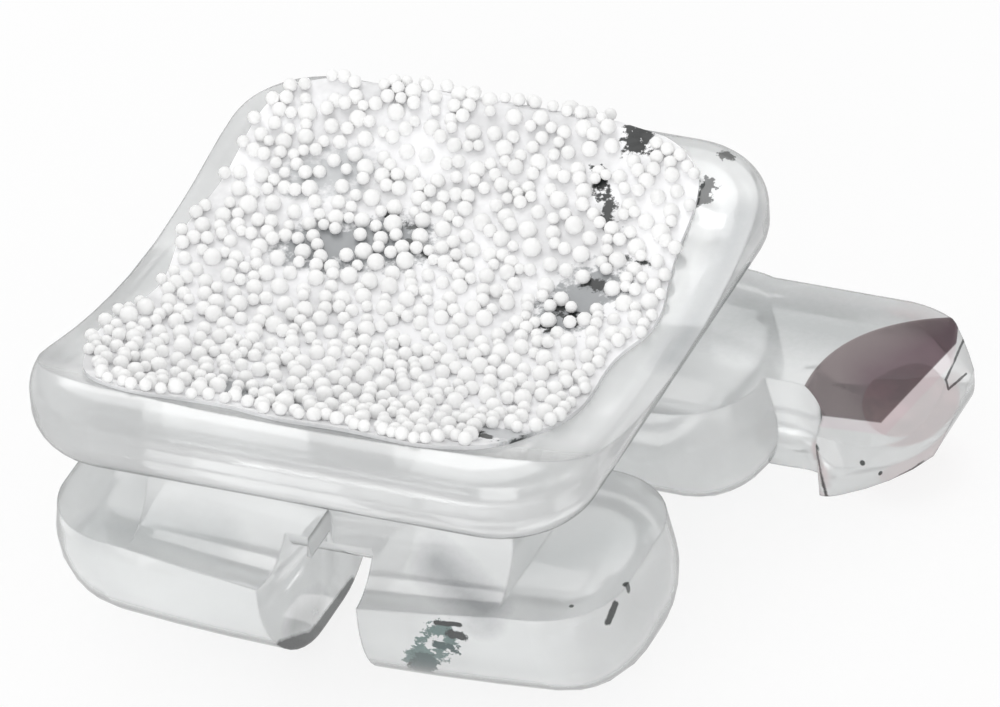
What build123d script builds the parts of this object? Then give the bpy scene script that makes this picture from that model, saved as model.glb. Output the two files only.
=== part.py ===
from build123d import *
import math
import os
import random

# Orthodontic bracket ground from one clear crystal, with a bead-coated bonding base.
# Frame, in millimetres: the origin is the centre of the arch wire slot, +Y runs along the slot
# (mesial to distal), +X points to the gum, where the hook is, and +Z points to the tooth, so the
# bonding base is on top and the bracket rests on the labial faces of its four tie wings.

# arch wire slot
slot_width = 0.56
slot_depth = 0.71
slot_lip = 0.05
slot_end_flare = 0.05
slot_end_round = 0.30
slot_straight_y = 1.30

# tie wings
wing_thickness = 0.90
wing_half_x = 1.86
wing_end_draft = 0.18
wing_side_y = 1.99
wing_side_bow_radius = 11.0
wing_side_round = 0.78
wing_gap_round = 0.60
wing_end_round = 0.52

# gap between the mesial and the distal pair of wings
gap_width = 0.62
gap_floor_above_slot = 0.06

# neck and the grooves that a ligature lies in
neck_half_x = 1.21
neck_half_y = 1.88
tie_groove_height = 0.45
tie_groove_radius = 0.36
tie_groove_y = 1.90
tie_groove_dip = 0.12

# hook on the distal wing at the gum side
hook_thickness = 0.70
hook_side_round = 0.50
hook_tip_round = 0.42
hook_back_y = 1.87
hook_tip_x = 2.94
hook_tip_y = 1.60
hook_tip_corner = 0.50
hook_tip_bow = 0.06
hook_outer_bow = 0.16
hook_nose_x = 2.36
hook_nose_y = 0.43
hook_nose_width = 0.14
hook_nose_bow = 0.03
hook_notch_x = 2.05
hook_notch_y = 0.86
hook_notch_radius = 0.27
hook_belly_radius = 2.60
hook_belly_x = 1.91
hook_belly_y = 1.35
hook_facet_radius = 1.80
hook_facet_slope = 25.0
hook_facet_heading = -31.4
hook_facet_x = 2.26
hook_facet_y = 1.40
hook_bevel_slope = 45.0
hook_bevel_heading = -21.7
hook_bevel_x = 2.61
hook_bevel_y = 0.87
hook_bevel_drop = 0.19

# bonding base
pad_min_x = -2.02
pad_max_x = 1.70
pad_min_y = -1.91
pad_max_y = 1.96
pad_skew = 0.17
pad_thickness = 0.55
pad_corner_radius = 0.60
pad_under_radius = 0.24
pad_rim_radius = 0.22
tooth_radius_across = 3.9
tooth_radius_along = 26.0
tooth_overcut = 0.01
tooth_spare = 0.285

# glaze that bonds the beads to the base
glaze_thickness = 0.03
glaze_gap_left = 0.14
glaze_gap_right = 0.34
glaze_gap_mesial = 0.24
glaze_gap_distal = 0.04
glaze_squareness = 5.0
glaze_wave = 0.022
glaze_points = 36

# zirconia beads
bead_smallest = 0.094
bead_usual = 0.114
bead_largest = 0.145
bead_count = 370
bead_spacing = 0.006
bead_edge_margin = 0.01
bead_seed = 11
bead_turn = 57.0
bare_patches = [
    (-0.79, 0.58, 0.17),
    (-0.87, -1.20, 0.15),
    (0.74, 1.72, 0.12),
    (0.69, 1.27, 0.11),
    (0.89, 0.51, 0.14),
    (1.07, -1.31, 0.18),
    (1.35, 1.45, 0.10),
]

# colour mark under the head of the hook
mark_thickness = 0.02
mark_x = 2.46
mark_y = 1.42
mark_radius_x = 0.30
mark_radius_y = 0.36

# levels along Z
wing_face_z = -slot_depth / 2 - slot_lip
slot_floor_z = slot_depth / 2
shelf_z = wing_face_z + wing_thickness
hook_low_z = shelf_z - hook_thickness
pad_under_z = shelf_z + tie_groove_height
pad_top_z = pad_under_z + pad_thickness

# middle of the base and the lowest point of its hollow
pad_center_x = (pad_min_x + pad_max_x) / 2
pad_center_y = (pad_min_y + pad_max_y) / 2
rim_half_x = (pad_max_x - pad_min_x) / 2 - pad_rim_radius
rim_half_y = (pad_max_y - pad_min_y) / 2 - pad_rim_radius
hollow_depth_x = rim_half_x**2 / (2 * tooth_radius_along)
hollow_depth_y = rim_half_y**2 / (2 * tooth_radius_across)
hollow_z = pad_top_z + tooth_overcut - hollow_depth_x - hollow_depth_y

# a reach past every side of the bracket, for the cutting tools
beyond = 4.0


def wing_pair(sign):
    """Two tie wings as one bar: bowed outer side, labial edges and both ends rounded."""
    inner_y = sign * gap_width / 2
    outer_y = sign * wing_side_y
    reach = wing_side_y - gap_width / 2
    middle = (inner_y + outer_y) / 2
    half = wing_thickness / 2
    spare = wing_thickness / 2
    outer_end = 0 if sign < 0 else -1
    inner_end = -1 if sign < 0 else 0

    outer = Pos(middle - sign * spare / 2, 0) * Rectangle(reach + spare, wing_thickness)
    corner = outer.vertices().sort_by(Axis.Y)[:2].sort_by(Axis.X)[outer_end]
    outer = Plane.YZ * fillet(corner, wing_side_round)
    bow = Axis((0, outer_y - sign * wing_side_bow_radius, 0), (0, 0, 1))
    turn = math.degrees(math.asin(beyond / wing_side_bow_radius))
    bowed = revolve(outer.rotate(bow, -turn), bow, 2 * turn)

    inner = Pos(middle + sign * spare / 2, 0) * Rectangle(reach + spare, wing_thickness)
    corner = inner.vertices().sort_by(Axis.Y)[:2].sort_by(Axis.X)[inner_end]
    wide = wing_half_x + wing_end_draft
    straight = extrude(Plane.YZ * fillet(corner, wing_gap_round), wide + spare, both=True)

    ends = make_face(
        Polyline((-wide, -half), (wide, -half), (wing_half_x, half), (-wing_half_x, half), close=True)
    )
    bar = bowed & straight & extrude(Plane.XZ * ends, beyond, both=True)
    end_edges = [
        edge
        for edge in bar.edges()
        if abs(edge.center().X) > wing_half_x - 0.001 and edge.center().Z < half - 0.001
    ]
    bar = fillet(end_edges, wing_end_round)
    return Pos(0, 0, wing_face_z + half) * bar


def tie_groove(sign_x, sign_y):
    """A cylinder that hollows a quarter of the neck's side and dips towards the slot."""
    dip = math.degrees(math.atan2(tie_groove_dip, neck_half_x))
    outside = wing_half_x + wing_end_draft - neck_half_x
    tool = Cylinder(tie_groove_radius, neck_half_x + outside, rotation=(0, 90, 0))
    tool = Rot(0, -sign_x * dip, 0) * Pos(sign_x * (outside - neck_half_x) / 2, 0, 0) * tool
    return Pos(sign_x * neck_half_x, sign_y * tie_groove_y, shelf_z + tie_groove_radius) * tool


def slot_plan():
    """Half plan of the slot, in the first quadrant of X and Y, mirrored to the whole."""
    near = slot_width / 2
    wide = near + slot_end_flare
    between_y = (slot_straight_y + wing_side_y) / 2
    between_x = near + slot_end_flare / 4
    quarter = make_face(
        Curve()
        + [
            Line((0, 0), (near, 0)),
            Line((near, 0), (near, slot_straight_y)),
            ThreePointArc((near, slot_straight_y), (between_x, between_y), (wide, wing_side_y)),
            Line((wide, wing_side_y), (wide, beyond)),
            Line((wide, beyond), (0, beyond)),
            Line((0, beyond), (0, 0)),
        ]
    )
    half = quarter + mirror(quarter, Plane.YZ)
    return half + mirror(half, Plane.XZ)


def slot_cutter():
    """The arch wire slot, with ends that open a little and a floor rounded off at both ends."""
    top = slot_floor_z + slot_end_round
    rise = tie_groove_radius - (top - shelf_z)
    shoulder = tie_groove_y - math.sqrt(tie_groove_radius**2 - rise**2)
    start = shoulder - slot_end_round
    half = make_face(
        Curve()
        + [
            Line((0, slot_floor_z), (start, slot_floor_z)),
            JernArc((start, slot_floor_z), (1, 0), slot_end_round, 90),
            Line((shoulder, top), (beyond, top)),
            Line((beyond, top), (beyond, -beyond)),
            Line((beyond, -beyond), (0, -beyond)),
            Line((0, -beyond), (0, slot_floor_z)),
        ]
    )
    side = Plane.YZ * (half + mirror(half, Plane.YZ))
    return extrude(slot_plan(), beyond, both=True) & extrude(side, slot_width, both=True)


def hook():
    """The ligature hook: flush with the distal side of its wing, a notch, and a faceted head."""
    root = (neck_half_x, hook_back_y)
    corner = (hook_tip_x - hook_tip_corner, hook_back_y)
    tip = (hook_tip_x, hook_tip_y)
    nose = (hook_nose_x + hook_nose_width, hook_nose_y)
    nose_end = (hook_nose_x, hook_nose_y)
    notch_start = (hook_notch_x + hook_notch_radius, hook_notch_y - hook_notch_radius)
    notch_end = (hook_notch_x, hook_notch_y)
    root_end = (neck_half_x, hook_notch_y)
    plan = make_face(
        Curve()
        + [
            Line(root, corner),
            SagittaArc(corner, tip, hook_tip_bow),
            SagittaArc(tip, nose, hook_outer_bow),
            SagittaArc(nose, nose_end, hook_nose_bow),
            Line(nose_end, notch_start),
            JernArc(notch_start, (0, 1), hook_notch_radius, 90),
            Line(notch_end, root_end),
            Line(root_end, root),
        ]
    )
    solid = Pos(0, 0, hook_low_z) * extrude(plan, hook_thickness)

    across = Pos(hook_back_y - beyond / 2, hook_low_z + beyond / 2) * Rectangle(beyond, beyond)
    corner = across.vertices().sort_by(Axis.Y)[:2].sort_by(Axis.X)[-1]
    solid &= extrude(Plane.YZ * fillet(corner, hook_side_round), beyond, both=True)

    along = Pos(hook_tip_x - beyond / 2, hook_low_z + beyond / 2) * Rectangle(beyond, beyond)
    corner = along.vertices().sort_by(Axis.Y)[:2].sort_by(Axis.X)[-1]
    solid &= extrude(Plane.XZ * fillet(corner, hook_tip_round), beyond, both=True)
    return (solid & hook_belly(hook_belly_radius)) - hook_facet() - hook_bevel()


def hook_belly(radius):
    """A ball whose lowest part is the labial face of the hook."""
    center = Pos(hook_belly_x, hook_belly_y, hook_low_z + hook_belly_radius)
    return center * Sphere(radius)


def hook_bevel():
    """A block with a sloping underside that bevels the outer side of the head."""
    tool = Rot(0, hook_bevel_slope, 0) * Pos(0, 0, beyond / 2) * Box(beyond, beyond, beyond)
    place = Pos(hook_bevel_x, hook_bevel_y, shelf_z - hook_bevel_drop)
    return place * Rot(0, 0, hook_bevel_heading) * tool


def hook_facet():
    """A wide cylinder that takes a sloping facet off the head of the hook."""
    tool = Cylinder(hook_facet_radius, 2 * beyond, rotation=(0, 90, 0))
    tool = Rot(0, hook_facet_slope, 0) * Pos(0, 0, hook_facet_radius) * tool
    return Pos(hook_facet_x, hook_facet_y, shelf_z) * Rot(0, 0, hook_facet_heading) * tool


def bonding_pad():
    """The bonding base: a cushion with rounded sides, hollowed to fit the tooth."""
    plan = make_face(
        Polyline(
            (pad_min_x, pad_min_y),
            (pad_max_x, pad_min_y),
            (pad_max_x, pad_max_y),
            (pad_min_x + pad_skew, pad_max_y),
            close=True,
        )
    )
    plan = fillet(plan.vertices(), pad_corner_radius)
    pad = Pos(0, 0, pad_under_z) * extrude(plan, pad_thickness)
    pad = fillet(pad.faces().sort_by(Axis.Z)[0].edges(), pad_under_radius)
    pad = fillet(pad.faces().sort_by(Axis.Z)[-1].edges(), pad_rim_radius)
    return pad - tooth_form()


def tooth_form():
    """The saddle of the tooth crown, curved more across the tooth than along it."""
    reach = (pad_max_y - pad_min_y) / 2 + tooth_spare
    rise = tooth_radius_across - math.sqrt(tooth_radius_across**2 - reach**2)
    section = Curve() + [
        ThreePointArc((-reach, rise), (0, 0), (reach, rise)),
        Line((reach, rise), (reach, beyond)),
        Line((reach, beyond), (-reach, beyond)),
        Line((-reach, beyond), (-reach, rise)),
    ]
    axis = Axis((0, 0, tooth_radius_along), (0, 1, 0))
    turn = math.degrees(math.asin(beyond / tooth_radius_along))
    form = revolve((Plane.YZ * make_face(section)).rotate(axis, -turn), axis, 2 * turn)
    return Pos(pad_center_x, pad_center_y, hollow_z) * form


def bracket_body(pad):
    """Pad, neck, four tie wings and hook, cut from one crystal."""
    neck_bottom = slot_floor_z + gap_floor_above_slot
    neck_top = pad_under_z + pad_rim_radius / 2
    neck = Pos(0, 0, (neck_bottom + neck_top) / 2) * Box(
        2 * neck_half_x, 2 * neck_half_y, neck_top - neck_bottom
    )
    body = neck - tooth_form() + wing_pair(-1) + wing_pair(1) + hook()
    for sign_x in (-1, 1):
        for sign_y in (-1, 1):
            body -= tie_groove(sign_x, sign_y)
    return (body - slot_cutter()) + pad


def glaze_outline():
    """Wavy edge of the glaze in plan: a squarish oval that follows the slanted side of the base."""
    far_x = pad_max_x - glaze_gap_right
    low_y = pad_min_y + glaze_gap_mesial
    high_y = pad_max_y - glaze_gap_distal
    half_y = (high_y - low_y) / 2
    points = []
    for step in range(glaze_points):
        angle = 2 * math.pi * step / glaze_points
        c = math.cos(angle)
        s = math.sin(angle)
        reach = (abs(c) ** glaze_squareness + abs(s) ** glaze_squareness) ** (-1 / glaze_squareness)
        reach *= 1 + glaze_wave * (math.sin(5 * angle + 0.6) + math.sin(11 * angle)) - glaze_wave
        y = low_y + half_y + half_y * reach * s
        slant = pad_skew * (y - pad_min_y) / (pad_max_y - pad_min_y)
        near_x = pad_min_x + glaze_gap_left + slant
        points.append(((near_x + far_x) / 2 + (far_x - near_x) / 2 * reach * c, y))
    return points


def glaze_film(pad):
    """A film of even height that follows the top of the base, with a wavy edge."""
    edge = Spline(*glaze_outline(), periodic=True)
    prism = Pos(0, 0, pad_under_z) * extrude(make_face(edge), beyond)
    return (Pos(0, 0, glaze_thickness) * pad & prism) - pad


def inside_outline(x, y, outline, margin):
    """True where a point lies inside the outline and at least the margin away from it."""
    inside = False
    for i, (ax, ay) in enumerate(outline):
        bx, by = outline[i - 1]
        if (ay > y) != (by > y) and x < ax + (y - ay) * (bx - ax) / (by - ay):
            inside = not inside
        span = (bx - ax) ** 2 + (by - ay) ** 2
        share = ((x - ax) * (bx - ax) + (y - ay) * (by - ay)) / span
        share = max(0.0, min(1.0, share))
        if math.hypot(x - ax - share * (bx - ax), y - ay - share * (by - ay)) < margin:
            return False
    return inside


def bead_places():
    """Places of the beads in plan with their diameters, scattered without touching."""
    luck = random.Random(bead_seed)
    edge = glaze_outline()
    places = []
    for _ in range(200 * bead_count):
        x = luck.uniform(pad_min_x, pad_max_x)
        y = luck.uniform(pad_min_y, pad_max_y)
        size = luck.triangular(bead_smallest, bead_largest, bead_usual)
        if not inside_outline(x, y, edge, size / 2 + bead_edge_margin):
            continue
        if any(math.hypot(x - bare_x, y - bare_y) < radius for bare_x, bare_y, radius in bare_patches):
            continue
        if all(math.hypot(x - a, y - b) > (size + other) / 2 + bead_spacing for a, b, other in places):
            places.append((x, y, size))
        if len(places) == bead_count:
            break
    return places


def bead_shape():
    """A bead of unit radius with twenty flat sides, one of them below, and the height of its middle."""
    golden = (1 + math.sqrt(5)) / 2
    points = []
    for a in (-1, 1):
        for b in (-golden, golden):
            points += [Vector(0, a, b), Vector(a, b, 0), Vector(b, 0, a)]
    points = [point.normalized() for point in points]
    side = min((point - points[0]).length for point in points[1:]) * 1.01
    faces = []
    for i, first in enumerate(points):
        for j, second in enumerate(points[:i]):
            for third in points[:j]:
                near = (first - second).length < side and (second - third).length < side
                if near and (first - third).length < side:
                    faces.append(make_face(Polyline(first, second, third, close=True)))
    foot = faces[0].center()
    return Plane(origin=(0, 0, 0), z_dir=-foot).to_local_coords(Solid(Shell(faces))), foot.length


def retention_beads(pad):
    """Every bead stands on the glaze, upright to the surface under it."""
    shape, middle = bead_shape()
    cover = Pos(0, 0, glaze_thickness) * pad
    beads = []
    for x, y, size in bead_places():
        above = Axis((x, y, beyond), (0, 0, -1))
        spot, normal = max(cover.find_intersection_points(above), key=lambda hit: hit[0].Z)
        seat = Plane(origin=spot, z_dir=normal).location * Pos(0, 0, middle * size / 2)
        beads.append(seat * Rot(0, 0, bead_turn * len(beads)) * scale(shape, size / 2))
    return Compound(children=beads)


def id_mark():
    """A thin patch of paint under the head of the hook."""
    skin = hook_belly(hook_belly_radius + mark_thickness) - hook_belly(hook_belly_radius)
    patch = Pos(mark_x, mark_y, hook_low_z - mark_thickness) * extrude(
        Ellipse(mark_radius_x, mark_radius_y), hook_thickness
    )
    return skin & patch


def main():
    os.makedirs("parts", exist_ok=True)
    pad = bonding_pad()
    parts = {
        "bracket_body": bracket_body(pad),
        "glaze_film": glaze_film(pad),
        "retention_beads": retention_beads(pad),
        "id_mark": id_mark(),
    }
    for name, shape in parts.items():
        print(name, round(shape.volume, 5), shape.is_valid, len(shape.solids()))
        export_step(shape, "parts/" + name + ".step")


main()
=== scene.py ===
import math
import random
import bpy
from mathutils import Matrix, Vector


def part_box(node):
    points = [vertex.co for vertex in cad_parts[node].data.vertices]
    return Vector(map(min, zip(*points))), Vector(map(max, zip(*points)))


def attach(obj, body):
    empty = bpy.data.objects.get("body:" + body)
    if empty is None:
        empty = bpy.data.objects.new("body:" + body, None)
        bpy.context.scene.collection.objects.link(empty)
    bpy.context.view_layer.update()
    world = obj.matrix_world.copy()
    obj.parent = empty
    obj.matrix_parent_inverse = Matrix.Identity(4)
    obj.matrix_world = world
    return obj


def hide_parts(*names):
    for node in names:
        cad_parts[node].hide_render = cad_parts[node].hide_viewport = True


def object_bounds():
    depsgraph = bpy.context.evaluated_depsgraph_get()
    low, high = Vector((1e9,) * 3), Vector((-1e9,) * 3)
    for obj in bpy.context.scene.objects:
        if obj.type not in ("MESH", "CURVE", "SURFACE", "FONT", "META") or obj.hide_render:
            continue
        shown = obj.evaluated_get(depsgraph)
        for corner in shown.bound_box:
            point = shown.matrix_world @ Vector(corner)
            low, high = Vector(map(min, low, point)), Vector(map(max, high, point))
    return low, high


bl_info = {
    "name": "Orthodontic bracket",
    "version": (1, 0, 0),
    "blender": (4, 5, 0),
    "location": "3D View > Sidebar > Bracket",
    "description": "Dresses a clear crystal orthodontic bracket and its bead-coated base",
    "category": "Object",
}

from typing import NamedTuple

import bmesh
import bpy
from bpy.props import FloatProperty, FloatVectorProperty, IntProperty, PointerProperty
from mathutils import Matrix, Vector, noise
from mathutils.bvhtree import BVHTree

MM = 0.001

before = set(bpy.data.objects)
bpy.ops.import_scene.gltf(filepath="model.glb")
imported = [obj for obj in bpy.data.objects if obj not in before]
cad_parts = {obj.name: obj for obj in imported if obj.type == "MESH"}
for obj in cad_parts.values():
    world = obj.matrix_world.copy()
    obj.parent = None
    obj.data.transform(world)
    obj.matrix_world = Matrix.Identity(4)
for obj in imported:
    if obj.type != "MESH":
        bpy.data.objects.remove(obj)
cad_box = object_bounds()


# Sizes and colours


class CrystalSettings(bpy.types.PropertyGroup):
    tint: FloatVectorProperty(
        name="Tint", description="Colour of the crystal", subtype="COLOR", size=3,
        min=0, max=1, default=(0.93, 0.94, 0.94),
    )
    clearness: FloatProperty(
        name="Clearness", description="Share of the light that goes through", subtype="FACTOR",
        min=0, max=1, default=0.58,
    )
    refraction: FloatProperty(
        name="Refractive index", description="Sapphire has 1.77", min=1, max=3, default=1.77,
    )
    roughness: FloatProperty(
        name="Roughness", description="Polish of the ground faces", min=0, max=1, default=0.07,
    )


class BeadSettings(bpy.types.PropertyGroup):
    colour: FloatVectorProperty(
        name="Colour", description="Colour of the zirconia", subtype="COLOR", size=3,
        min=0, max=1, default=(0.97, 0.97, 0.965),
    )
    roundness: FloatProperty(
        name="Roundness", description="Radius over the reach of the flat-sided bead", min=0.5, max=1,
        default=0.88,
    )
    fill_count: IntProperty(
        name="Small beads", description="Small beads between the others", min=0, default=430,
    )
    fill_smallest: FloatProperty(
        name="Smallest", description="Diameter of the smallest of them", subtype="DISTANCE",
        unit="LENGTH", min=0, default=0.072 * MM,
    )
    fill_largest: FloatProperty(
        name="Largest", description="Diameter of the largest of them", subtype="DISTANCE",
        unit="LENGTH", min=0, default=0.094 * MM,
    )
    seed: IntProperty(name="Seed", description="Another scatter for another number", default=5)


class GlazeSettings(bpy.types.PropertyGroup):
    colour: FloatVectorProperty(
        name="Colour", description="Colour of the milky glaze", subtype="COLOR", size=3,
        min=0, max=1, default=(0.94, 0.94, 0.95),
    )
    greyness: FloatProperty(
        name="Greyness", description="How much greyer the thin glaze is", subtype="FACTOR",
        min=0, max=1, default=0.22,
    )


class MarkSettings(bpy.types.PropertyGroup):
    colour: FloatVectorProperty(
        name="Colour", description="Colour of the paint under the hook", subtype="COLOR", size=3,
        min=0, max=1, default=(0.34, 0.19, 0.20),
    )
    sink: FloatProperty(
        name="Sink", description="Depth of the paint in the face it wets", subtype="DISTANCE",
        unit="LENGTH", min=0, default=0.012 * MM,
    )


class StageSettings(bpy.types.PropertyGroup):
    key: FloatProperty(name="Main light", description="Radiance of the main light", min=0, default=1.9)
    fill: FloatProperty(name="Fill light", description="Radiance of the fill light", min=0, default=2.4)
    sky: FloatProperty(name="Sky", description="Strength of the light from all round", min=0, default=0.9)


SETTINGS = {
    "bracket_crystal": CrystalSettings,
    "bracket_beads": BeadSettings,
    "bracket_glaze": GlazeSettings,
    "bracket_mark": MarkSettings,
    "bracket_stage": StageSettings,
}


# Places and colours on the bracket, in millimetres


class Streak(NamedTuple):
    """A line that a shade or a stain follows, with its half width, its fraying and its colour"""

    start: tuple
    end: tuple
    radius: float
    raggedness: float
    softness: float
    colour: tuple = None


BLACK = (0.010, 0.012, 0.012)
# near black, for painted dark edges and for dark specks and spots
NEAR_BLACK = (0.06, 0.065, 0.065)
GREY = (0.33, 0.34, 0.35)
PALE_GREY = (0.55, 0.56, 0.57)
TEAL = (0.10, 0.17, 0.16)
DEEP_TEAL = (0.03, 0.06, 0.06)
WHITE = (0.90, 0.90, 0.90)
PALE_MAROON = (0.45, 0.36, 0.38)

# the facet of the hook's head as the solid has it, a part of a wide cylinder: a point of its
# lowest line, how it is turned in degrees, and how far off its face the mask fades, within a
# ball round the head
FACET_PLACE = (2.26, 1.40, 0.495)
FACET_HEADING = -31.4
FACET_SLOPE = 25.0
FACET_RADIUS = 1.80
FACET_BLUR = (0.006, 0.010)
HEAD_REACH = Streak((2.45, 1.25, 0.40), (2.45, 1.25, 0.40), 0.75, 0.0, 0.05)

# the painted area on it: a point of each straight side and the direction out of the area
PAINT_SIDES = (
    ((2.59, 0.92, 0.26), (0.776, -0.113, -0.620)),
    ((2.59, 0.92, 0.26), (0.053, -0.598, -0.799)),
)
PAINT_BLUR = 0.006
PAINT_TINTS = ((0.120, 0.082, 0.085), (0.060, 0.026, 0.036))
DARKER_PAINT = Streak((2.50, 1.20, 0.35), (2.80, 1.65, 0.40), 0.30, 0.3, 0.7)
BEVEL_REACH = (0.06, 0.08)
BEVEL_TINT = (0.93, 0.86, 0.88)

# where the crystal turns away, a painted shade darkens it: how far it is turned, from 0 to 1, and the
# dark colour it fades to
RIM_TURN = (0.66, 0.88)
RIM_PAINTED_SHADE = (0.02, 0.022, 0.022)

# the radius to which light sees the edges eased, and what is left of light that falls through
EASED_EDGE = 0.022 * MM
CRYSTAL_SHADE = (0.93, 0.94, 0.94, 1)

# broad soft painted shades on the crystal, over the wings' grooves, necks and ends, the hook's top and
# the base's right slope
PAINTED_SHADES = (
    Streak((0.72, -1.62, 0.58), (1.12, -1.86, 0.48), 0.20, 0.2, 0.9, (0.42, 0.43, 0.44)),
    Streak((1.55, 1.45, 0.55), (2.35, 1.45, 0.52), 0.50, 0.2, 0.9, (0.48, 0.50, 0.50)),
    Streak((-0.27, -1.58, -0.10), (-0.27, -1.30, -0.22), 0.20, 0.2, 0.9, (0.52, 0.53, 0.53)),
    Streak((-1.45, -1.75, 0.52), (-0.70, -1.72, 0.52), 0.22, 0.2, 0.9, (0.70, 0.72, 0.72)),
    Streak((1.30, -1.35, 0.50), (1.60, -0.95, 0.50), 0.30, 0.2, 0.9, (0.76, 0.78, 0.78)),
    Streak((1.62, 0.05, 1.12), (1.60, 1.30, 1.36), 0.20, 0.2, 0.9, (0.66, 0.68, 0.69)),
)

# the teal patch on the front wing, with a white speck and black lines in it
TEAL_PATCH = (
    Streak((0.88, -1.95, 0.31), (0.66, -1.89, 0.00), 0.11, 2.0, 0.15, TEAL),
    Streak((0.72, -1.90, 0.05), (0.64, -1.80, -0.12), 0.09, 2.0, 0.15, DEEP_TEAL),
    Streak((0.84, -1.95, 0.26), (0.78, -1.95, 0.20), 0.05, 3.0, 0.2, WHITE),
    Streak((0.84, -1.95, 0.40), (0.99, -1.95, 0.41), 0.022, 0.8, 0.3, BLACK),
    Streak((0.93, -1.95, 0.33), (1.00, -1.95, 0.31), 0.040, 2.0, 0.2, BLACK),
    Streak((0.84, -1.95, 0.22), (0.94, -1.95, 0.19), 0.045, 3.0, 0.2, DEEP_TEAL),
    Streak((0.84, -1.95, 0.39), (0.55, -1.84, -0.10), 0.014, 0.8, 0.4, BLACK),
)

# dark specks on the front wing and the hook
SPECKS = (
    Streak((1.855, -1.38, 0.51), (1.86, -1.38, 0.46), 0.030, 0.6, 0.3, BLACK),
    Streak((1.84, -1.54, 0.45), (1.825, -1.61, 0.38), 0.036, 0.8, 0.3, BLACK),
    Streak((1.62, -1.68, 0.50), (1.62, -1.68, 0.50), 0.018, 0.5, 0.3, NEAR_BLACK),
    Streak((2.60, 0.57, 0.20), (2.60, 0.57, 0.20), 0.022, 0.5, 0.3, BLACK),
    Streak((2.69, 0.63, 0.10), (2.69, 0.63, 0.10), 0.018, 0.5, 0.3, BLACK),
)

# painted dark edges, for the dark outlines the crystal shows: the inner end of a front wing, the corner
# of the base, and round the hook's head
PAINTED_DARK_EDGES = (
    Streak((-0.28, -0.80, -0.40), (-0.28, -1.40, -0.37), 0.090, 0.3, 0.3, BLACK),
    Streak((-0.28, -1.40, -0.37), (-0.29, -1.80, -0.17), 0.085, 0.4, 0.3, BLACK),
    Streak((1.32, 1.71, 1.49), (1.36, 1.70, 1.48), 0.040, 3.0, 0.2, BLACK),
    Streak((1.30, 1.49, 1.41), (1.30, 1.38, 1.37), 0.055, 3.5, 0.2, BLACK),
    Streak((0.76, 1.76, 1.49), (0.74, 1.66, 1.46), 0.080, 3.5, 0.2, BLACK),
    Streak((2.36, 0.44, 0.42), (2.38, 0.40, 0.22), 0.018, 0.8, 0.5, NEAR_BLACK),
    Streak((2.38, 0.40, 0.22), (2.42, 0.39, 0.02), 0.022, 0.8, 0.5, BLACK),
    Streak((2.42, 0.39, 0.02), (2.66, 0.56, 0.00), 0.020, 0.8, 0.5, BLACK),
    Streak((2.66, 0.56, 0.00), (2.86, 0.92, 0.02), 0.016, 0.8, 0.5, NEAR_BLACK),
    Streak((2.84, 1.70, 0.40), (2.83, 1.41, 0.30), 0.010, 0.8, 0.5, NEAR_BLACK),
    Streak((2.83, 1.41, 0.30), (2.86, 1.37, 0.26), 0.010, 0.8, 0.5, NEAR_BLACK),
    Streak((2.86, 1.37, 0.26), (2.91, 1.54, 0.27), 0.010, 0.8, 0.5, NEAR_BLACK),
)

# painted glints on the painted facet
PAINTED_FACET_GLINTS = (
    Streak((2.42, 0.98, 0.42), (2.40, 1.04, 0.42), 0.016, 1.0, 0.4, WHITE),
    Streak((2.66, 1.42, 0.33), (2.66, 1.42, 0.33), 0.014, 1.0, 0.4, PALE_MAROON),
)

# places where the glaze is thin and grey
THIN_GLAZE = (
    Streak((-0.95, 0.50, 1.14), (-0.45, 0.68, 1.16), 0.24, 2.2, 0.4, GREY),
    Streak((-0.86, -1.21, 1.30), (-0.33, -1.29, 1.31), 0.14, 2.2, 0.4, GREY),
    Streak((-1.20, 1.05, 1.26), (-1.00, 1.15, 1.28), 0.22, 2.0, 0.6, PALE_GREY),
    Streak((0.80, 0.30, 1.12), (0.90, 0.60, 1.15), 0.22, 2.6, 0.4, GREY),
    Streak((0.82, -1.28, 1.33), (1.20, -1.24, 1.33), 0.16, 2.6, 0.4, PALE_GREY),
)

# dark spots on the glaze
GLAZE_DARK_SPOTS = (
    Streak((0.74, 1.75, 1.49), (0.78, 1.66, 1.46), 0.10, 4.0, 0.3, BLACK),
    Streak((0.58, 1.45, 1.37), (0.69, 1.28, 1.31), 0.055, 4.0, 0.3, BLACK),
    Streak((0.72, 1.22, 1.28), (0.81, 1.08, 1.25), 0.060, 4.0, 0.3, BLACK),
    Streak((1.00, 0.85, 1.20), (1.22, 0.84, 1.20), 0.035, 3.0, 0.4, NEAR_BLACK),
    Streak((0.84, 0.61, 1.15), (0.94, 0.60, 1.15), 0.065, 4.0, 0.3, BLACK),
    Streak((0.72, 0.38, 1.12), (0.90, 0.26, 1.11), 0.065, 4.5, 0.3, BLACK),
    Streak((0.70, 0.14, 1.10), (0.76, 0.18, 1.10), 0.050, 4.0, 0.3, BLACK),
    Streak((0.80, -1.24, 1.32), (1.02, -1.36, 1.35), 0.060, 4.0, 0.3, BLACK),
    Streak((1.14, -1.30, 1.34), (1.34, -1.02, 1.27), 0.035, 3.0, 0.4, NEAR_BLACK),
    Streak((-0.62, 0.90, 1.18), (-0.35, 0.80, 1.16), 0.040, 4.0, 0.4, NEAR_BLACK),
    Streak((-0.40, 0.70, 1.16), (-0.22, 0.62, 1.15), 0.030, 3.0, 0.4, NEAR_BLACK),
)

# centre and radius of each place that has no small beads
BARE_PLACES = (
    ((-0.79, 0.58), 0.10),
    ((0.74, 1.72), 0.14),
    ((0.69, 1.27), 0.12),
    ((0.89, 0.51), 0.16),
    ((1.07, -1.31), 0.16),
    ((1.35, 1.45), 0.14),
)


# Shader helpers


def new_material(name):
    """A material with an empty node tree and its output node."""
    material = bpy.data.materials.new(name)
    material.use_nodes = True
    tree = material.node_tree
    tree.nodes.clear()
    return material, tree, tree.nodes.new("ShaderNodeOutputMaterial")


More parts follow.
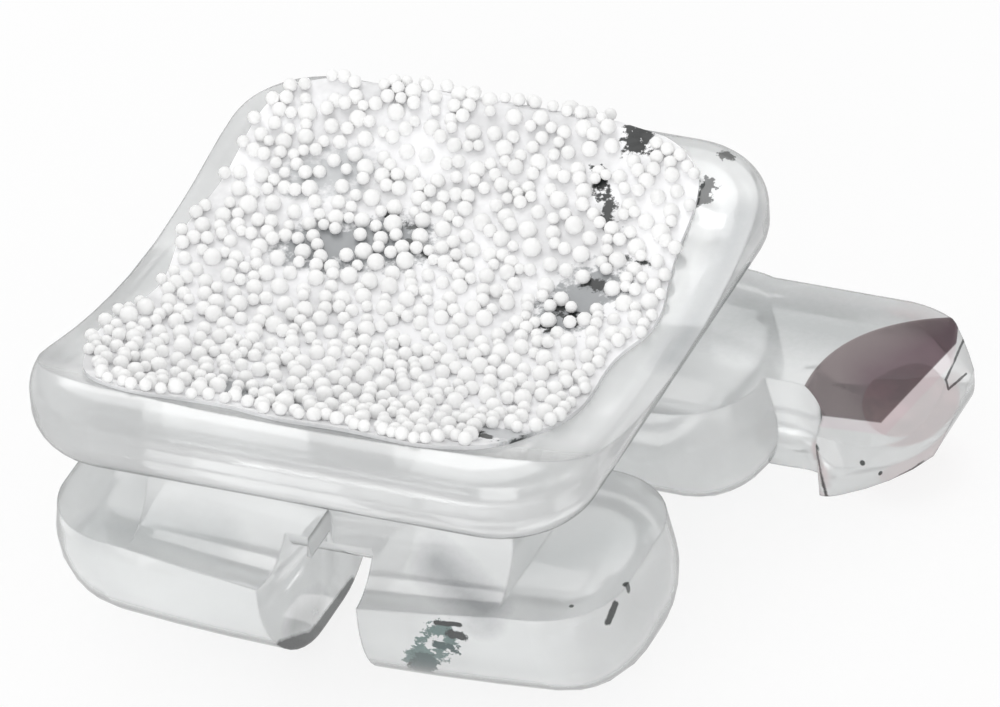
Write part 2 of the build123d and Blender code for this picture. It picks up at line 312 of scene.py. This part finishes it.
def node(tree, kind, **values):
    """A node with its properties and input values set."""
    made = tree.nodes.new(kind)
    for key, value in values.items():
        if hasattr(made, key):
            setattr(made, key, value)
        else:
            made.inputs[key.replace("_", " ")].default_value = value
    return made


def feed(tree, socket, source):
    """Links an input to a socket, or sets it to a plain value."""
    if isinstance(source, bpy.types.NodeSocket):
        tree.links.new(source, socket)
    else:
        socket.default_value = source


def math_node(tree, operation, *operands, clamp=False):
    """A Math node; each operand is a number or a socket."""
    made = node(tree, "ShaderNodeMath", operation=operation, use_clamp=clamp)
    for socket, operand in zip(made.inputs, operands):
        feed(tree, socket, operand)
    return made.outputs[0]


def vector_node(tree, operation, first, second):
    """A Vector Math node of two vectors; each is a vector or a socket."""
    made = node(tree, "ShaderNodeVectorMath", operation=operation)
    feed(tree, made.inputs[0], first)
    feed(tree, made.inputs[1], second)
    return made.outputs["Value" if operation in ("DOT_PRODUCT", "DISTANCE") else "Vector"]


def scaled(tree, vector, factor):
    """A vector socket times a number or a socket."""
    made = node(tree, "ShaderNodeVectorMath", operation="SCALE")
    tree.links.new(vector, made.inputs[0])
    feed(tree, made.inputs["Scale"], factor)
    return made.outputs[0]


def ramp(tree, source, low, high, to_low=0.0, to_high=1.0):
    """A smooth step of a socket between two limits."""
    made = node(tree, "ShaderNodeMapRange", interpolation_type="SMOOTHSTEP")
    made.inputs["From Min"].default_value = low
    made.inputs["From Max"].default_value = high
    made.inputs["To Min"].default_value = to_low
    made.inputs["To Max"].default_value = to_high
    tree.links.new(source, made.inputs["Value"])
    return made.outputs["Result"]


def fall(tree, source, low, high):
    """A smooth step of a socket from 1 down to 0 between two limits."""
    return ramp(tree, source, low, high, 1.0, 0.0)


def mix_colour(tree, share, first, second):
    """A colour mixed from two; share is a socket, each colour a tuple or a socket."""
    made = node(tree, "ShaderNodeMix", data_type="RGBA")
    tree.links.new(share, made.inputs[0])
    for socket, colour in ((made.inputs[6], first), (made.inputs[7], second)):
        is_socket = isinstance(colour, bpy.types.NodeSocket)
        feed(tree, socket, colour if is_socket else (*colour[:3], 1))
    return made.outputs[2]


def mix_shaders(tree, share, first, second):
    """A shader mixed from two; all three are sockets."""
    made = tree.nodes.new("ShaderNodeMixShader")
    for socket, source in zip(made.inputs, (share, first, second)):
        tree.links.new(source, socket)
    return made.outputs[0]


def principled(tree, colour, roughness):
    """A Principled shader with a colour socket; roughness is a number or a socket."""
    shader = tree.nodes.new("ShaderNodeBsdfPrincipled")
    tree.links.new(colour, shader.inputs["Base Color"])
    feed(tree, shader.inputs["Roughness"], roughness)
    return shader


def group_tree(name, inputs, outputs):
    """A node group with named inputs and outputs."""
    tree = bpy.data.node_groups.new(name, "ShaderNodeTree")
    for label, kind, default in inputs:
        socket = tree.interface.new_socket(name=label, in_out="INPUT", socket_type=kind)
        socket.default_value = default
    for label, kind in outputs:
        tree.interface.new_socket(name=label, in_out="OUTPUT", socket_type=kind)
    return tree, tree.nodes.new("NodeGroupInput"), tree.nodes.new("NodeGroupOutput")


def streak_group():
    """Ragged streak: a mask along a line between two points of the object, frayed by a cloud."""
    tree, taken, given = group_tree(
        "Ragged streak",
        [
            ("Place", "NodeSocketVector", (0, 0, 0)),
            ("Cloud", "NodeSocketFloat", 0.5),
            ("Start", "NodeSocketVector", (0, 0, 0)),
            ("End", "NodeSocketVector", (0, 0, 0)),
            ("Radius", "NodeSocketFloat", 0.1),
            ("Raggedness", "NodeSocketFloat", 0.5),
            ("Softness", "NodeSocketFloat", 0.2),
        ],
        [("Mask", "NodeSocketFloat")],
    )
    place, cloud, start, end, radius, raggedness, softness = taken.outputs[:7]
    along = vector_node(tree, "SUBTRACT", end, start)
    away = vector_node(tree, "SUBTRACT", place, start)
    reach = vector_node(tree, "DOT_PRODUCT", away, along)
    length = vector_node(tree, "DOT_PRODUCT", along, along)
    part = math_node(tree, "DIVIDE", reach, length, clamp=True)
    off = vector_node(tree, "DISTANCE", away, scaled(tree, along, part))
    # the mask is (1 - off / radius - raggedness * (cloud - 0.5)) / softness, held to 0 and 1
    slope = math_node(tree, "DIVIDE", -1.0, math_node(tree, "MULTIPLY", radius, softness))
    wander = math_node(tree, "DIVIDE", raggedness, softness)
    middle = math_node(tree, "DIVIDE", 1.0, softness)
    middle = math_node(tree, "MULTIPLY_ADD", wander, 0.5, middle)
    level = math_node(tree, "SUBTRACT", middle, math_node(tree, "MULTIPLY", cloud, wander))
    mask = math_node(tree, "MULTIPLY_ADD", off, slope, level, clamp=True)
    tree.links.new(mask, given.inputs["Mask"])
    return tree


def streak_mask(tree, place, cloud, streak):
    """Places the streak group, made when first needed, in a material and returns its mask."""
    group = bpy.data.node_groups.get("Ragged streak") or streak_group()
    made = node(tree, "ShaderNodeGroup", node_tree=group)
    tree.links.new(place, made.inputs["Place"])
    tree.links.new(cloud, made.inputs["Cloud"])
    for label in ("Start", "End", "Radius", "Raggedness", "Softness"):
        made.inputs[label].default_value = getattr(streak, label.lower())
    return made.outputs["Mask"]


def stained_and_shaded(tree, colour, place, cloud, streaks):
    """A colour with each streak laid over it in turn, be it a stain, a painted shade or a painted glint.
    """
    for streak in streaks:
        colour = mix_colour(tree, streak_mask(tree, place, cloud, streak), colour, streak.colour)
    return colour


def in_millimetres(tree):
    """The place on the object, in millimetres."""
    return scaled(tree, tree.nodes.new("ShaderNodeTexCoord").outputs["Object"], 1 / MM)


def noise_of(tree, place, scale, detail=3.0, roughness=0.55):
    """A noise of the place, from 0 to 1."""
    made = node(tree, "ShaderNodeTexNoise", Scale=scale, Detail=detail, Roughness=roughness)
    tree.links.new(place, made.inputs["Vector"])
    return made.outputs["Fac"]


def bumped(tree, height, strength):
    """A Bump node for the waves of a surface."""
    bump = node(tree, "ShaderNodeBump", Strength=strength, Distance=WAVE_HEIGHT)
    tree.links.new(height, bump.inputs["Height"])
    return bump


def dimmed(colour, share):
    """A colour with less light in it."""
    return tuple(channel * share for channel in colour)


# Materials

# the levels of a noise between which a material goes over from one look to the other
CRYSTAL_CLOUD = (0.35, 0.7)
CRYSTAL_POLISH = (0.3, 0.75)
GLAZE_CLOUD = (0.42, 0.62)
GLAZE_GRAIN = (0.35, 0.65)
BEAD_CLOUD = (0.42, 0.72)
PAINT_CLOUD = (0.4, 0.75)

# the darker look of the crystal and the beads, as a share of the colour
MISTY = 0.90
GREYER_BEAD = 0.93

# the lighter look of the paint: times this, plus this
PAINT_GAIN = 1.8
PAINT_LIFT = 0.02

GLAZE_ROUGHNESS = (0.30, 0.46)
BEAD_ROUGHNESS = 0.42
PAINT_ROUGHNESS = 0.35

# the waves of a surface: their height, and how much of it each material has
WAVE_HEIGHT = 0.01 * MM
CRYSTAL_WAVES = 0.06
GLAZE_WAVES = 0.3


def facet_mask(tree, place):
    """1 on the hollow-ground facet of the hook's head."""
    turn = Matrix.Rotation(math.radians(FACET_HEADING), 3, "Z")
    turn @= Matrix.Rotation(math.radians(FACET_SLOPE), 3, "Y")
    middle = Vector(FACET_PLACE) + turn @ Vector((0, 0, FACET_RADIUS))
    axis = turn @ Vector((1, 0, 0))
    away = vector_node(tree, "SUBTRACT", place, middle)
    across = vector_node(tree, "CROSS_PRODUCT", away, axis)
    off = vector_node(tree, "DISTANCE", across, (0, 0, 0))
    off = math_node(tree, "SUBTRACT", off, FACET_RADIUS)
    return fall(tree, math_node(tree, "ABSOLUTE", off), *FACET_BLUR)


def beyond_side(tree, place, point, normal):
    """Distance past a straight side of the painted area, less than 0 inside it."""
    return vector_node(tree, "DOT_PRODUCT", vector_node(tree, "SUBTRACT", place, point), normal)


def painted_facet(tree, colour, place, grain):
    """The colour of the crystal with the facet's paint, the pale bevel past it and the painted glints."""
    head = streak_mask(tree, place, grain, HEAD_REACH)
    facet = math_node(tree, "MULTIPLY", head, facet_mask(tree, place))
    sides = (beyond_side(tree, place, *side) for side in PAINT_SIDES)
    outside = math_node(tree, "MAXIMUM", *sides)
    pale = math_node(tree, "MULTIPLY", facet, fall(tree, outside, *BEVEL_REACH))
    colour = mix_colour(tree, pale, colour, BEVEL_TINT)
    paint = mix_colour(tree, streak_mask(tree, place, grain, DARKER_PAINT), *PAINT_TINTS)
    inside = fall(tree, outside, -PAINT_BLUR, PAINT_BLUR)
    colour = mix_colour(tree, math_node(tree, "MULTIPLY", facet, inside), colour, paint)
    # painted glints on the facet
    return stained_and_shaded(tree, colour, place, grain, PAINTED_FACET_GLINTS)


def rim_mask(tree, normal):
    """1 where the surface turns away from the eye, where the painted shade goes."""
    turned = node(tree, "ShaderNodeLayerWeight", Blend=0.5)
    tree.links.new(normal, turned.inputs["Normal"])
    return ramp(tree, turned.outputs["Facing"], *RIM_TURN)


def crystal_material(settings):
    """Polished crystal: part clear and part milky, with a painted shade where it turns away, painted
    shades, dark edges and glints, a teal patch and dark specks.
    """
    material, tree, output = new_material("Clear crystal")
    place = in_millimetres(tree)
    cloud = noise_of(tree, place, scale=0.9, detail=2.0)
    grain = noise_of(tree, place, scale=22.0, detail=3.0, roughness=0.65)
    eased = node(tree, "ShaderNodeBevel", samples=2, Radius=EASED_EDGE).outputs["Normal"]
    misty = dimmed(settings.tint, MISTY)
    colour = mix_colour(tree, ramp(tree, cloud, *CRYSTAL_CLOUD), settings.tint, misty)
    # painted shades and painted dark edges, with the teal patch and the dark specks
    colour = stained_and_shaded(tree, colour, place, grain, PAINTED_SHADES + TEAL_PATCH + SPECKS + PAINTED_DARK_EDGES)
    colour = painted_facet(tree, colour, place, grain)
    # painted shade where the crystal turns away
    colour = mix_colour(tree, rim_mask(tree, eased), colour, RIM_PAINTED_SHADE)
    polish = ramp(tree, cloud, *CRYSTAL_POLISH, settings.roughness, settings.roughness * 2)
    shader = principled(tree, colour, polish)
    shader.inputs["Transmission Weight"].default_value = settings.clearness
    shader.inputs["IOR"].default_value = settings.refraction
    bump = bumped(tree, noise_of(tree, place, scale=2.6, detail=0.0), CRYSTAL_WAVES)
    tree.links.new(eased, bump.inputs["Normal"])
    tree.links.new(bump.outputs["Normal"], shader.inputs["Normal"])
    shade = node(tree, "ShaderNodeBsdfTransparent", Color=CRYSTAL_SHADE)
    shadow = tree.nodes.new("ShaderNodeLightPath").outputs["Is Shadow Ray"]
    surface = mix_shaders(tree, shadow, shader.outputs[0], shade.outputs[0])
    tree.links.new(surface, output.inputs["Surface"])
    return material


def glaze_material(settings):
    """Fired glaze: milky white to grey, with thin places and dark spots."""
    material, tree, output = new_material("Milky glaze")
    place = in_millimetres(tree)
    cloud = noise_of(tree, place, scale=1.3, detail=5.0, roughness=0.62)
    grain = noise_of(tree, place, scale=14.0, detail=4.0, roughness=0.65)
    thin = dimmed(settings.colour, 1 - settings.greyness)
    colour = mix_colour(tree, ramp(tree, cloud, *GLAZE_CLOUD), settings.colour, thin)
    colour = stained_and_shaded(tree, colour, place, grain, THIN_GLAZE + GLAZE_DARK_SPOTS)
    shader = principled(tree, colour, ramp(tree, grain, *GLAZE_GRAIN, *GLAZE_ROUGHNESS))
    bump = bumped(tree, noise_of(tree, place, scale=9.0, detail=2.0), GLAZE_WAVES)
    tree.links.new(bump.outputs["Normal"], shader.inputs["Normal"])
    tree.links.new(shader.outputs[0], output.inputs["Surface"])
    return material


def bead_material(settings):
    """Zirconia: bright white with a satin gloss."""
    material, tree, output = new_material("White zirconia")
    cloud = noise_of(tree, in_millimetres(tree), scale=5.2, detail=2.0)
    greyer = dimmed(settings.colour, GREYER_BEAD)
    colour = mix_colour(tree, ramp(tree, cloud, *BEAD_CLOUD), settings.colour, greyer)
    shader = principled(tree, colour, BEAD_ROUGHNESS)
    tree.links.new(shader.outputs[0], output.inputs["Surface"])
    return material


def mark_material(settings):
    """Maroon paint with a slightly mottled body."""
    material, tree, output = new_material("Maroon paint")
    cloud = noise_of(tree, in_millimetres(tree), scale=4.0)
    lighter = tuple(min(1.0, channel * PAINT_GAIN + PAINT_LIFT) for channel in settings.colour)
    colour = mix_colour(tree, ramp(tree, cloud, *PAINT_CLOUD), settings.colour, lighter)
    shader = principled(tree, colour, PAINT_ROUGHNESS)
    tree.links.new(shader.outputs[0], output.inputs["Surface"])
    return material


# Pieces

# points closer than this are one point of a bead
WELD = 0.0002 * MM

# how deep the beads sit in the glaze, over their radius: a patchy noise that grows with y
SINK_PATCH = 0.45 * MM
SINK_SLOPE = 0.55
SINK_MIDDLE = 0.15
SINK_SWING = 0.4
SINK_LIMITS = (0.1, 0.7)

BEAD_SUBDIVISIONS = 2

# the small beads: tries for each, the steepest glaze they hold on to, the height of the middle
# over the radius, and how close two beads may be over the sum of their radii
TRIES = 60
STEEPEST = 0.8
STANCE = 0.8
CLOSENESS = 0.86


def mesh_piece(name, mesh, material):
    """Links a mesh as a piece that rides on the bracket."""
    piece = bpy.data.objects.new(name, mesh)
    bpy.context.scene.collection.objects.link(piece)
    mesh.materials.clear()
    mesh.materials.append(material)
    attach(piece, "root")
    return piece


def dress(name, material):
    """Gives a CAD node its material in every slot."""
    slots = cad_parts[name].data.materials
    if not slots:
        slots.append(material)
    for index in range(len(slots)):
        slots[index] = material


def island(start, seen):
    """Places of all vertices that are joined to one, which are then marked as seen."""
    seen.add(start.index)
    waiting = [start]
    places = []
    while waiting:
        vertex = waiting.pop()
        places.append(vertex.co.copy())
        for edge in vertex.link_edges:
            other = edge.other_vert(vertex)
            if other.index not in seen:
                seen.add(other.index)
                waiting.append(other)
    return places


def islands(mesh):
    """Lists of vertex places, one for each separate solid of a mesh."""
    work = bmesh.new()
    work.from_mesh(mesh)
    bmesh.ops.remove_doubles(work, verts=work.verts, dist=WELD)
    seen = set()
    found = [island(start, seen) for start in work.verts if start.index not in seen]
    work.free()
    return found


def bead_sizes(roundness):
    """Middle and radius of each bead of the CAD model, made round and sunk a little in the glaze."""
    beads = []
    for places in islands(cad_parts["retention_beads"].data):
        middle = sum(places, Vector()) / len(places)
        reach = sum((place - middle).length for place in places) / len(places)
        radius = reach * roundness
        depth = noise.noise(middle / SINK_PATCH) + SINK_SLOPE * middle.y / MM
        least, most = SINK_LIMITS
        sink = radius * min(most, max(least, SINK_MIDDLE + SINK_SWING * depth))
        beads.append((middle - Vector((0, 0, reach - radius + sink)), radius))
    return beads


def bead_mesh(name, beads):
    """One mesh of round beads; none reaches above the top of the CAD model's box."""
    top = cad_box[1].z
    work = bmesh.new()
    for middle, radius in beads:
        bmesh.ops.create_icosphere(
            work,
            subdivisions=BEAD_SUBDIVISIONS,
            radius=min(radius, top - middle.z),
            matrix=Matrix.Translation(middle),
        )
    for face in work.faces:
        face.smooth = True
    mesh = bpy.data.meshes.new(name)
    work.to_mesh(mesh)
    work.free()
    return mesh


class BRACKET_OT_crystal(bpy.types.Operator):
    """Gives the bracket its clear crystal"""

    bl_idname = "bracket.crystal"
    bl_label = "Crystal bracket"

    def execute(self, context):
        dress("bracket_body", crystal_material(context.scene.bracket_crystal))
        return {"FINISHED"}


class BRACKET_OT_glaze(bpy.types.Operator):
    """Gives the film on the base its milky glaze"""

    bl_idname = "bracket.glaze"
    bl_label = "Glaze"

    def execute(self, context):
        dress("glaze_film", glaze_material(context.scene.bracket_glaze))
        return {"FINISHED"}


class BRACKET_OT_beads(bpy.types.Operator):
    """Makes the round beads in place of the flat-sided ones, and small ones between them"""

    bl_idname = "bracket.beads"
    bl_label = "Retention beads"

    def execute(self, context):
        settings = context.scene.bracket_beads
        material = bead_material(settings)
        beads = bead_sizes(settings.roundness)
        piece = mesh_piece("round_beads", bead_mesh("round_beads", beads), material)
        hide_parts("retention_beads")
        small = self.small_beads(settings, beads)
        mesh_piece("small_beads", bead_mesh("small_beads", small), material)
        return {"FINISHED"}

    def small_beads(self, settings, beads):
        """Small beads that sit on the glaze in the spaces between the others."""
        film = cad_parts["glaze_film"].data
        surface = BVHTree.FromPolygons(
            [vertex.co for vertex in film.vertices], [tuple(face.vertices) for face in film.polygons]
        )
        low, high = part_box("glaze_film")
        luck = random.Random(settings.seed)
        taken = list(beads)
        small = []
        for _ in range(TRIES * settings.fill_count):
            if len(small) == settings.fill_count:
                break
            x = luck.uniform(low.x, high.x)
            y = luck.uniform(low.y, high.y)
            radius = luck.uniform(settings.fill_smallest, settings.fill_largest) / 2
            spot, normal, _, _ = surface.ray_cast(Vector((x, y, high.z + MM)), Vector((0, 0, -1)))
            if spot is None or normal.z < STEEPEST or self.is_bare(x, y):
                continue
            middle = spot + normal * radius * STANCE
            if all((middle - other).length > (radius + reach) * CLOSENESS for other, reach in taken):
                small.append((middle, radius))
                taken.append((middle, radius))
        return small

    def is_bare(self, x, y):
        """True in the places that have no small beads."""
        return any(math.dist((x / MM, y / MM), centre) < reach for centre, reach in BARE_PLACES)


class BRACKET_OT_mark(bpy.types.Operator):
    """Makes the paint patch that wets the underside of the hook's head"""

    bl_idname = "bracket.mark"
    bl_label = "Colour mark"

    def execute(self, context):
        settings = context.scene.bracket_mark
        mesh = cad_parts["id_mark"].data.copy()
        mesh.name = "paint_patch"
        mesh.transform(Matrix.Translation((0, 0, settings.sink)))
        piece = mesh_piece("paint_patch", mesh, mark_material(settings))
        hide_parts("id_mark")
        return {"FINISHED"}


# Stage

# the photograph's view: right and up of the camera in the bracket's frame
VIEW_RIGHT = Vector((0.922, 0.383, -0.074))
VIEW_UP = Vector((-0.165, 0.5565, 0.8146))
VIEW_CENTRE = Vector((0.5269, -0.0670, 1.0363)) * MM
VIEW_WIDTH = 6.0976 * MM
VIEW_DISTANCE = 90 * MM
SENSOR_WIDTH = 36.0

FLOOR_SIZE = 120 * MM
FLOOR_COLOUR = (0.92, 0.92, 0.92, 1)
FLOOR_GLOW = 0.82

MAIN_LIGHT_PLACE = Vector((-12, 10, 30)) * MM
FILL_LIGHT_PLACE = Vector((8, -30, 11)) * MM
LIGHT_SIZE = 22 * MM

# the surroundings as the crystal mirrors and bends them: white, but grey round the photograph's
# camera, by how nearly they lie toward it, and grey in a band at the horizon, by their height
TENT = (1.0, 1.0, 1.0)
CAMERA_SIDE = (0.12, 0.125, 0.13)
CAMERA_SIDE_REACH = (0.35, 0.90)
HORIZON = (0.20, 0.20, 0.21)
HORIZON_HEIGHTS = (0.03, 0.16)
HORIZON_SHARE = 0.75


class BRACKET_OT_stage(bpy.types.Operator):
    """Makes the floor, the lights, the surroundings and the camera"""

    bl_idname = "bracket.stage"
    bl_label = "Stage"

    def execute(self, context):
        settings = context.scene.bracket_stage
        back = VIEW_RIGHT.cross(VIEW_UP).normalized()
        self.make_floor()
        self.make_world(settings, back)
        self.make_light("main_light", settings.key, MAIN_LIGHT_PLACE)
        self.make_light("fill_light", settings.fill, FILL_LIGHT_PLACE)
        self.make_camera(back)
        context.scene.view_settings.view_transform = "Standard"
        return {"FINISHED"}

    def make_floor(self):
        """A pale floor under the bracket's labial faces."""
        half = FLOOR_SIZE / 2
        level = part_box("bracket_body")[0].z
        mesh = bpy.data.meshes.new("pale_floor")
        corners = [(-half, -half), (half, -half), (half, half), (-half, half)]
        mesh.from_pydata([(x, y, level) for x, y in corners], [], [(0, 1, 2, 3)])
        floor = bpy.data.objects.new("pale_floor", mesh)
        bpy.context.scene.collection.objects.link(floor)
        material, tree, output = new_material("Pale floor")
        matt = node(tree, "ShaderNodeBsdfDiffuse", Color=FLOOR_COLOUR)
        glow = tree.nodes.new("ShaderNodeEmission")
        path = tree.nodes.new("ShaderNodeLightPath")
        seen = math_node(tree, "ADD", path.outputs["Is Camera Ray"], path.outputs["Is Glossy Ray"])
        seen = math_node(tree, "ADD", seen, path.outputs["Is Transmission Ray"], clamp=True)
        share = math_node(tree, "MULTIPLY", seen, FLOOR_GLOW)
        surface = mix_shaders(tree, share, matt.outputs[0], glow.outputs[0])
        tree.links.new(surface, output.inputs["Surface"])
        mesh.materials.append(material)

    def make_world(self, settings, back):
        """White surroundings that give an even light, and are grey in places in the crystal."""
        world = bpy.data.worlds.new("Light tent")
        bpy.context.scene.world = world
        world.use_nodes = True
        tree = world.node_tree
        tree.nodes.clear()
        output = tree.nodes.new("ShaderNodeOutputWorld")
        toward = tree.nodes.new("ShaderNodeTexCoord").outputs["Generated"]
        near = ramp(tree, vector_node(tree, "DOT_PRODUCT", toward, back), *CAMERA_SIDE_REACH)
        colour = mix_colour(tree, near, TENT, CAMERA_SIDE)
        split = tree.nodes.new("ShaderNodeSeparateXYZ")
        tree.links.new(toward, split.inputs[0])
        height = math_node(tree, "ABSOLUTE", split.outputs["Z"])
        low = ramp(tree, height, *HORIZON_HEIGHTS, HORIZON_SHARE, 0.0)
        mirrored = tree.nodes.new("ShaderNodeBackground")
        tree.links.new(mix_colour(tree, low, colour, HORIZON), mirrored.inputs["Color"])
        even = node(tree, "ShaderNodeBackground", Strength=settings.sky)
        plain = node(tree, "ShaderNodeBackground", Strength=1.0)
        path = tree.nodes.new("ShaderNodeLightPath")
        bent = math_node(
            tree, "ADD", path.outputs["Is Glossy Ray"], path.outputs["Is Transmission Ray"], clamp=True
        )
        around = mix_shaders(tree, bent, even.outputs[0], mirrored.outputs[0])
        surface = mix_shaders(tree, path.outputs["Is Camera Ray"], around, plain.outputs[0])
        tree.links.new(surface, output.inputs["Surface"])

    def make_light(self, name, radiance, place):
        """A square soft light that faces the bracket, with its radiance as written."""
        data = bpy.data.lights.new(name, "AREA")
        data.size = LIGHT_SIZE
        data.energy = radiance * math.pi * data.size**2
        light = bpy.data.objects.new(name, data)
        light.location = place
        light.rotation_euler = (VIEW_CENTRE - place).to_track_quat("-Z", "Y").to_euler()
        bpy.context.scene.collection.objects.link(light)

    def make_camera(self, back):
        """A long lens at the photograph's angle and frame."""
        data = bpy.data.cameras.new("camera")
        data.sensor_width = SENSOR_WIDTH
        data.lens = SENSOR_WIDTH * VIEW_DISTANCE / VIEW_WIDTH
        data.clip_start = 1 * MM
        camera = bpy.data.objects.new("camera", data)
        right = VIEW_RIGHT.normalized()
        up = back.cross(right)
        turn = Matrix((right, up, back)).transposed().to_4x4()
        camera.matrix_world = Matrix.Translation(VIEW_CENTRE + back * VIEW_DISTANCE) @ turn
        bpy.context.scene.collection.objects.link(camera)
        bpy.context.scene.camera = camera


# Panel and start


class BRACKET_PT_panel(bpy.types.Panel):
    """Sizes and colours of the bracket, with a button for each piece"""

    bl_label = "Bracket"
    bl_idname = "BRACKET_PT_panel"
    bl_space_type = "VIEW_3D"
    bl_region_type = "UI"
    bl_category = "Bracket"

    def draw(self, context):
        for name, operator in zip(SETTINGS, OPERATORS):
            box = self.layout.box()
            settings = getattr(context.scene, name)
            for prop in settings.bl_rna.properties:
                if prop.identifier not in ("rna_type", "name"):
                    box.prop(settings, prop.identifier)
            box.operator(operator.bl_idname)


# one for each of SETTINGS, in its order
OPERATORS = (
    BRACKET_OT_crystal,
    BRACKET_OT_beads,
    BRACKET_OT_glaze,
    BRACKET_OT_mark,
    BRACKET_OT_stage,
)


def register():
    for kind in (*SETTINGS.values(), *OPERATORS, BRACKET_PT_panel):
        bpy.utils.register_class(kind)
    for name, kind in SETTINGS.items():
        setattr(bpy.types.Scene, name, PointerProperty(type=kind))


def unregister():
    for name in SETTINGS:
        delattr(bpy.types.Scene, name)
    for kind in reversed((*SETTINGS.values(), *OPERATORS, BRACKET_PT_panel)):
        bpy.utils.unregister_class(kind)


def main():
    register()
    bpy.ops.bracket.crystal()
    bpy.ops.bracket.beads()
    bpy.ops.bracket.glaze()
    bpy.ops.bracket.mark()
    bpy.ops.bracket.stage()


if __name__ == "__main__":
    main()
